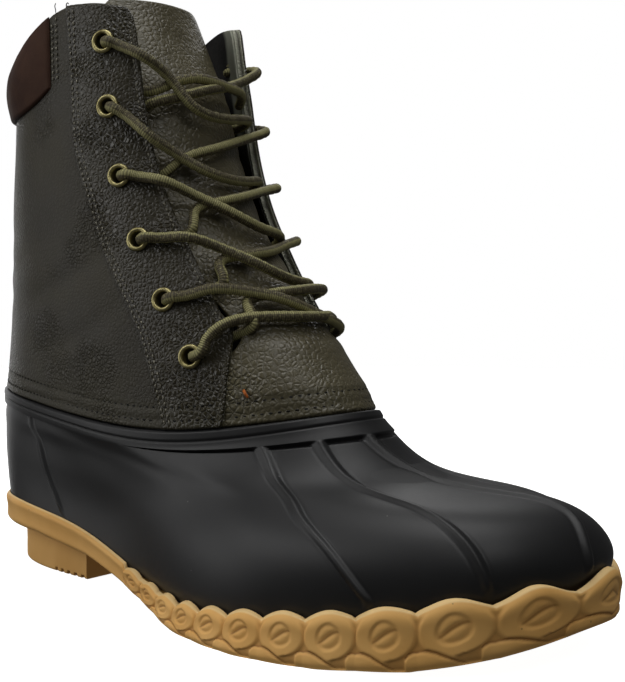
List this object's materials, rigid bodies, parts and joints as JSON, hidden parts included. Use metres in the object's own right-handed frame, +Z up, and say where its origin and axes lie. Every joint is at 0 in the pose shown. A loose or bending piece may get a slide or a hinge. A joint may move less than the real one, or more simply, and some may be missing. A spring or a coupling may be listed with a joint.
{
  "type": "duck boot",
  "caption": "Laced ankle-high duck boot for the right foot: moulded rubber bottom on a scalloped gum sole, leather shaft with a padded cuff, tongue and metal eyelets.",
  "frame": {"origin": "bottom centre of the bounding box, on the floor under the sole", "axes": "+X towards the toe, +Y towards the inner (medial) side of the foot, +Z up"},
  "size_m": [0.3018, 0.1196, 0.2493],
  "materials": {
    "gum_rubber": "matte moulded gum rubber",
    "black_rubber": "satin moulded rubber",
    "olive_leather": "pebbled waxed leather",
    "brown_cuff": "matte soft leather over padding",
    "grey_felt": "felted fabric",
    "aged_brass": "aged, rolled edge",
    "olive_lace": "round braided cord with light flecks"
  },
  "bodies": {
    "root": {"outsole": "gum_rubber", "rubber_shell": "black_rubber", "shaft": "olive_leather", "tongue": "olive_leather", "collar_pad": "brown_cuff", "insole": "grey_felt", "eyelet_lateral_1": "aged_brass", "eyelet_lateral_2": "aged_brass", "eyelet_lateral_3": "aged_brass", "eyelet_lateral_4": "aged_brass", "eyelet_lateral_5": "aged_brass", "eyelet_lateral_6": "aged_brass", "eyelet_medial_1": "aged_brass", "eyelet_medial_2": "aged_brass", "eyelet_medial_3": "aged_brass", "eyelet_medial_4": "aged_brass", "eyelet_medial_5": "aged_brass", "eyelet_medial_6": "aged_brass", "lace_cross_1": "olive_lace", "lace_cross_2": "olive_lace", "lace_cross_3": "olive_lace", "lace_cross_4": "olive_lace", "lace_cross_5": "olive_lace"}
  },
  "joints": []
}
